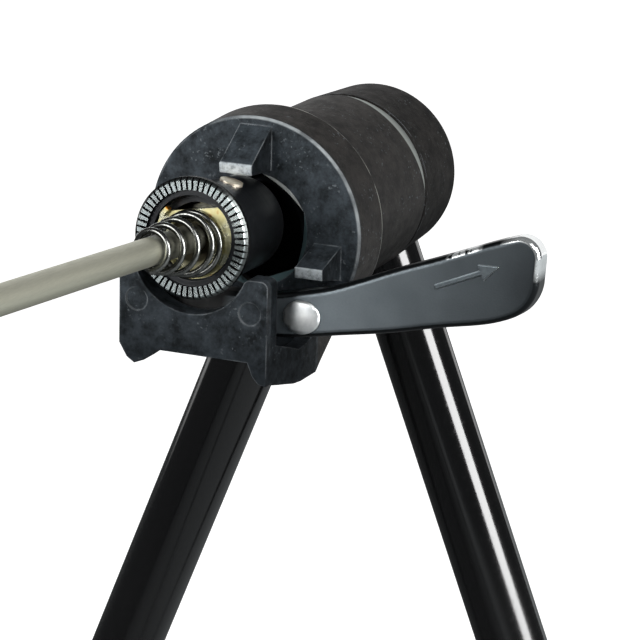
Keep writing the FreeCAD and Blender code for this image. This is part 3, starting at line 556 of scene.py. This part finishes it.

# %% [markdown]
# The lever is a forged aluminium arm. Its broad face is bead-blasted to a satin grey that darkens
# towards the tip, and its rounded rim is painted dark as shade. The polished tip has a painted
# highlight on its upper part, and the top edge a few painted glints. The face is told from the rim
# by the direction of its surface: the face looks straight along the skewer. A painted shadow
# darkens the base beside the head.

# %% Forged aluminium lever


def forged_aluminium():
    """Satin face, polished tip, and painted light: a shaded rim, a highlight on the tip, glints on the
    top edge and a shadow on the base.
    """
    material, tree, shader = finish("Forged aluminium, bead-blasted", {})
    where = place(tree)
    soft, near = edges(tree, 0.25)
    rim = steps(tree, facing_axle(tree), 0.97, 0.90)
    blast = noise(tree, where, 0.35, 2.0)
    cloud = noise(tree, where, 8.0, 2.0)
    reach = add(tree, "ShaderNodeSeparateXYZ", None, {"Vector": where}).outputs["Y"]
    outer = steps(tree, reach, -12 * mm, -58 * mm)
    face = blend_colours(tree, outer, "6b7378", "2f3336")
    pale = blend_colours(tree, outer, "777f84", "373c3f")
    face = blend_colours(tree, steps(tree, cloud, 0.3, 0.7), face, pale)
    polished = steps(tree, reach, -52 * mm, -55 * mm)
    height = add(tree, "ShaderNodeSeparateXYZ", None, {"Vector": where}).outputs["Z"]
    # Painted highlight: the polished tip turns near white only on its upper part.
    tip_highlight = times(tree, polished, steps(tree, height, 350.5 * mm, 352.5 * mm))
    # Painted glints: a few near-white specks on the top edge.
    edge_glint = times(tree, between(tree, reach, -48.5 * mm, -43.0 * mm, 0.6 * mm),
                 steps(tree, noise(tree, where, 1.2), 0.42, 0.5))
    edge_glint = times(tree, edge_glint, steps(tree, height, 348 * mm, 349 * mm))
    painted_highlight = add(tree, "ShaderNodeMath", None, {0: tip_highlight, 1: edge_glint},
                 operation="MAXIMUM").outputs["Value"]
    # The rim is painted dark as shade, and near white where the painted highlight and glints lie.
    tint = blend_colours(tree, rim, face, blend_colours(tree, painted_highlight, "1e2123", "f2f5f5"))
    # Painted shadow: the base beside the head turns near black and not metallic.
    darkened = steps(tree, reach, -4.0 * mm, -1.0 * mm)
    tint = blend_colours(tree, darkened, tint, "08090a")
    tree.links.new(steps(tree, darkened, 0, 1, 0.85, 0.0), shader.inputs["Metallic"])
    tree.links.new(tint, shader.inputs["Base Color"])
    dull = steps(tree, blast, 0.3, 0.7, 0.42, 0.55)
    shine = steps(tree, tip_highlight, 0, 1, 0.30, 0.10)
    rough = add(tree, "ShaderNodeMix", None, {0: rim, 2: dull, 3: shine}).outputs[0]
    rough = add(tree, "ShaderNodeMix", {3: 0.7}, {0: darkened, 2: rough}).outputs[0]
    tree.links.new(rough, shader.inputs["Roughness"])
    tree.links.new(relief(tree, blast, 0.012, soft), shader.inputs["Normal"])
    return material


lever_finish = forged_aluminium()
print("made", lever_finish.name)

# %% [markdown]
# The shoes on the floor bars are moulded rubber, dull and a little dusty, with shallow ribs
# 2.6 mm apart. The friction washers are natural acetal, a waxy off-white plastic.

# %% Rubber and acetal


def dull_moulding(name, main_hex, other_hex, rough_low, rough_high, grain_mm, relief_mm, ior,
                  rib_mm=0.0):
    """Dull plastic or rubber; rib_mm is the pitch of shallow ribs across the floor bar."""
    material, tree, shader = finish(name, {"IOR": ior})
    where = place(tree)
    cloud = noise(tree, where, 6.0, 3.0)
    tint = blend_colours(tree, steps(tree, cloud, 0.35, 0.7), main_hex, other_hex)
    tree.links.new(tint, shader.inputs["Base Color"])
    tree.links.new(steps(tree, cloud, 0.3, 0.7, rough_low, rough_high),
                   shader.inputs["Roughness"])
    skin = noise(tree, where, grain_mm, 2.0)
    bumps = relief(tree, skin, relief_mm)
    if rib_mm > 0:
        along = add(tree, "ShaderNodeSeparateXYZ", None, {"Vector": where}).outputs["X"]
        turns = add(tree, "ShaderNodeMath", {1: 2 * math.pi / (rib_mm * mm)}, {0: along},
                    operation="MULTIPLY").outputs["Value"]
        wave = add(tree, "ShaderNodeMath", None, {0: turns}, operation="SINE").outputs["Value"]
        bumps = relief(tree, steps(tree, wave, -0.2, 0.6), 0.35, bumps)
    tree.links.new(bumps, shader.inputs["Normal"])
    return material


rubber = dull_moulding("Moulded rubber", "1c1c1d", "29292a", 0.68, 0.85, 0.5, 0.03, 1.52, 2.6)
acetal = dull_moulding("Acetal", "d9d6cc", "cfccc1", 0.35, 0.45, 0.8, 0.004, 1.48)
print("made", rubber.name, "and", acetal.name)

# %% [markdown]
# Each CAD node now gets its finish, and keeps the shape that the solids give it. On the rivet's
# cap, points that lie on one another are joined and the normals are evened.

# %% Finish of every CAD node
finishes = {
    head_nylon: ["head_body_right", "head_body_left"],
    knuckle_nylon: ["rear_knuckle_right", "rear_knuckle_left"],
    tube_coat: ["front_leg_frame", "rear_leg_frame"],
    rubber: ["front_foot_right", "front_foot_left", "rear_foot_right", "rear_foot_left"],
    black_oxide: ["pivot_bolt_right", "pivot_bolt_left"],
    bright_zinc: ["pivot_nut_right", "pivot_nut_left", "nut_washer_right", "nut_washer_left",
                  "front_leg_pins", "rear_leg_pins"],
    cam_steel: ["cam_shaft"],
    acetal: ["friction_washer_right", "friction_washer_left"],
    drawn_rod: ["skewer_rod"],
    spring_wire: ["spring_right", "spring_left"],
    ring_chrome: ["serrated_ring", "nut_ring"],
    rivet_chrome: ["lever_rivet"],
    black_anodised: ["cam_housing", "adjusting_nut"],
    yellow_zinc: ["spring_seat"],
    lever_finish: ["lever"],
}
for material, names in finishes.items():
    for name in names:
        mesh = nodes[name].data
        mesh.materials.clear()
        mesh.materials.append(material)
for kind, settings in (("WELD", {"merge_threshold": 0.001 * mm}),
                       ("WEIGHTED_NORMAL", {"keep_sharp": False})):
    even = nodes["lever_rivet"].modifiers.new(kind.lower(), kind)
    for setting, value in settings.items():
        setattr(even, setting, value)
unfinished = set(nodes) - {n for names in finishes.values() for n in names}
print("nodes with no finish:", sorted(unfinished))

# %% [markdown]
# A small raised arrow on the lever's face points to the lever's tip. It is forged with the lever,
# so it stands only a third of a millimetre proud and its edges are round.

# %% Arrow on the lever


def raised_outline(name, outline_mm, depth_mm, sink_mm, round_mm):
    """Thin plate from a flat outline, with rounded edges; its top looks along +Z."""
    shape = bmesh.new()
    corners = [shape.verts.new((x * mm, y * mm, -sink_mm * mm)) for x, y in outline_mm]
    base = shape.faces.new(corners)
    grown = bmesh.ops.extrude_face_region(shape, geom=[base])
    top = [item for item in grown["geom"] if isinstance(item, bmesh.types.BMVert)]
    bmesh.ops.translate(shape, verts=top, vec=(0, 0, (depth_mm + sink_mm) * mm))
    bmesh.ops.recalc_face_normals(shape, faces=shape.faces)
    mesh = bpy.data.meshes.new(name)
    shape.to_mesh(mesh)
    shape.free()
    piece = bpy.data.objects.new(name, mesh)
    bevel = piece.modifiers.new("rounded", "BEVEL")
    bevel.width = round_mm * mm
    bevel.segments = 3
    bevel.limit_method = "ANGLE"
    bpy.context.scene.collection.objects.link(piece)
    return piece


arrow_mm = [(-6.2, -0.45), (2.6, -0.45), (2.6, -1.5), (6.2, 0.0), (2.6, 1.5), (2.6, 0.45),
            (-6.2, 0.45)]
lever_arrow = raised_outline("lever_arrow", arrow_mm, 0.34, 0.2, 0.16)
along_arm = Vector((0.54, -11.48, 4.89)).normalized()
off_face = Vector((-0.9966, -0.0100, 0.0816)).normalized()
up_face = off_face.cross(along_arm).normalized()
along_arm = up_face.cross(off_face)
turn = Matrix((along_arm, up_face, off_face)).transposed()
lever_arrow.data.transform(Matrix.Translation(Vector((77.87, -46.6, 350.19)) * mm)
                           @ turn.to_4x4())
rubbed_mark = plated("Forged aluminium, rubbed mark", "6e767a", "596064", 0.34, 0.46, 1.2,
                     side_hex="eef2f2")
lever_arrow.data.materials.append(rubbed_mark)
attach(lever_arrow, "lever")
print("arrow faces", len(lever_arrow.data.polygons))

# %% [markdown]
# The stand stands in a small product studio with a white floor. Floor and world look white to the
# camera and in reflections. The world lights the stand at a low even level, and the floor only
# passes on the light that falls on it, so it keeps the stand's shadow.

# %% Floor and world
world_level = 0.3
floor_brightness = 0.85


def seen_directly(tree):
    """1 for what the camera sees straight, in a reflection or through glass."""
    path = add(tree, "ShaderNodeLightPath")
    first = add(tree, "ShaderNodeMath", None,
                {0: path.outputs["Is Camera Ray"], 1: path.outputs["Is Glossy Ray"]},
                operation="MAXIMUM").outputs["Value"]
    return add(tree, "ShaderNodeMath", None,
               {0: first, 1: path.outputs["Is Transmission Ray"]},
               operation="MAXIMUM").outputs["Value"]


def studio_floor():
    """Large white square just below the shoes."""
    size = 6.0
    mesh = bpy.data.meshes.new("studio_floor")
    corners = [(-size, -size, -0.0005), (size, -size, -0.0005), (size, size, -0.0005),
               (-size, size, -0.0005)]
    mesh.from_pydata(corners, [], [(0, 1, 2, 3)])
    material, tree, shader = finish("White studio floor", {"Base Color": (0.8, 0.8, 0.8, 1),
                                                           "Roughness": 0.9})
    shader.inputs["Emission Color"].default_value = (1, 1, 1, 1)
    strength = add(tree, "ShaderNodeMath", {1: floor_brightness}, {0: seen_directly(tree)},
                   operation="MULTIPLY").outputs["Value"]
    tree.links.new(strength, shader.inputs["Emission Strength"])
    mesh.materials.append(material)
    floor = bpy.data.objects.new("studio_floor", mesh)
    bpy.context.scene.collection.objects.link(floor)
    return floor


def studio_world(level):
    """White surroundings that light the stand at this level."""
    world = bpy.data.worlds.new("studio")
    world.use_nodes = True
    tree = world.node_tree
    background = tree.nodes["Background"]
    background.inputs["Color"].default_value = (1, 1, 1, 1)
    strength = steps(tree, seen_directly(tree), 0, 1, level, 1.0)
    tree.links.new(strength, background.inputs["Strength"])
    bpy.context.scene.world = world


floor = studio_floor()
studio_world(world_level)
print("made", floor.name, "and a world of level", world_level)

# %% [markdown]
# The photographer's side of the room is dim, and gloss black and bright metal mirror it. A dark
# cloth hangs around and over the stand with a wide gap towards the backdrop, and a dark mat lies
# on the floor. Only reflections see them: they take no light from the stand and cast no shadow.

# %% Dark cloths
cloth_radius_mm = 3000
cloth_gap_degrees = 50


def dark_cloth(name, mesh, left_level, right_level):
    """Cloth whose brightness changes from the left of the picture to the right."""
    material = bpy.data.materials.new(name)
    material.use_nodes = True
    tree = material.node_tree
    tree.nodes.clear()
    across = add(tree, "ShaderNodeSeparateXYZ", None, {"Vector": place(tree)}).outputs["Y"]
    level = steps(tree, across, 0.2, -0.5, left_level, right_level)
    glow = add(tree, "ShaderNodeEmission", {"Color": (0.95, 1.0, 1.02, 1)}, {"Strength": level})
    add(tree, "ShaderNodeOutputMaterial", None, {"Surface": glow.outputs["Emission"]})
    mesh.materials.append(material)
    cloth = bpy.data.objects.new(name, mesh)
    for ray in ("camera", "diffuse", "shadow", "transmission", "volume_scatter"):
        setattr(cloth, "visible_" + ray, False)
    bpy.context.scene.collection.objects.link(cloth)
    return cloth


def cloth_shell(radius_mm, gap_degrees):
    """Dome over the stand, open within an angle of the backdrop's direction."""
    shape = bmesh.new()
    bmesh.ops.create_uvsphere(shape, u_segments=72, v_segments=36, radius=radius_mm * mm)
    backdrop = -camera_back
    least = math.cos(math.radians(gap_degrees))
    gone = [v for v in shape.verts if v.co.z < 0 or v.co.normalized().dot(backdrop) > least]
    bmesh.ops.delete(shape, geom=gone, context="VERTS")
    mesh = bpy.data.meshes.new("dark_cloth")
    shape.to_mesh(mesh)
    shape.free()
    return mesh


def mat_sheet(radius_mm):
    """Round sheet just above the floor."""
    shape = bmesh.new()
    bmesh.ops.create_circle(shape, cap_ends=True, segments=64, radius=radius_mm * mm)
    mesh = bpy.data.meshes.new("dark_mat")
    shape.to_mesh(mesh)
    shape.free()
    mesh.transform(Matrix.Translation((0, 0, -0.4 * mm)))
    return mesh


hung = dark_cloth("dark_cloth", cloth_shell(cloth_radius_mm, cloth_gap_degrees), 0.07, 0.10)
laid = dark_cloth("dark_mat", mat_sheet(cloth_radius_mm), 0.08, 0.60)
print("made", hung.name, "and", laid.name)

# %% [markdown]
# Three soft lamps light the stand. The high one and the front one model the heads, and the tall
# one at the side draws the long bright line on the rear leg. The side lamp is seen by gloss and
# metal only, because it would otherwise wash out the dull nylon.

# %% Lamps


def soft_light(name, place_mm, aim_mm, size_mm, power):
    """Rectangular lamp that looks at a point."""
    data = bpy.data.lights.new(name, "AREA")
    data.shape = "RECTANGLE"
    data.size, data.size_y = size_mm[0] * mm, size_mm[1] * mm
    data.energy = power
    lamp = bpy.data.objects.new(name, data)
    lamp.location = Vector(place_mm) * mm
    aim = Vector(aim_mm) * mm - lamp.location
    lamp.rotation_mode = "QUATERNION"
    lamp.rotation_quaternion = aim.to_track_quat("-Z", "Y")
    bpy.context.scene.collection.objects.link(lamp)
    return lamp


head_mm = (80, 0, 340)
high = soft_light("high light", (-436, -684, 1144), head_mm, (500, 500), 5)
front = soft_light("front light", (-900, 550, 750), head_mm, (700, 700), 12)
side = soft_light("side light", (-63, -1069, 700), head_mm, (540, 900), 29)
side.visible_diffuse = False
print("lamps", ", ".join(f"{lamp.name} {lamp.data.energy:g} W" for lamp in (high, front, side)))

# %% [markdown]
# The colours are shown as they are, without a film look. The finish must not make the stand any
# larger.

# %% Colour view
view = bpy.context.scene.view_settings
view.view_transform = "Standard"
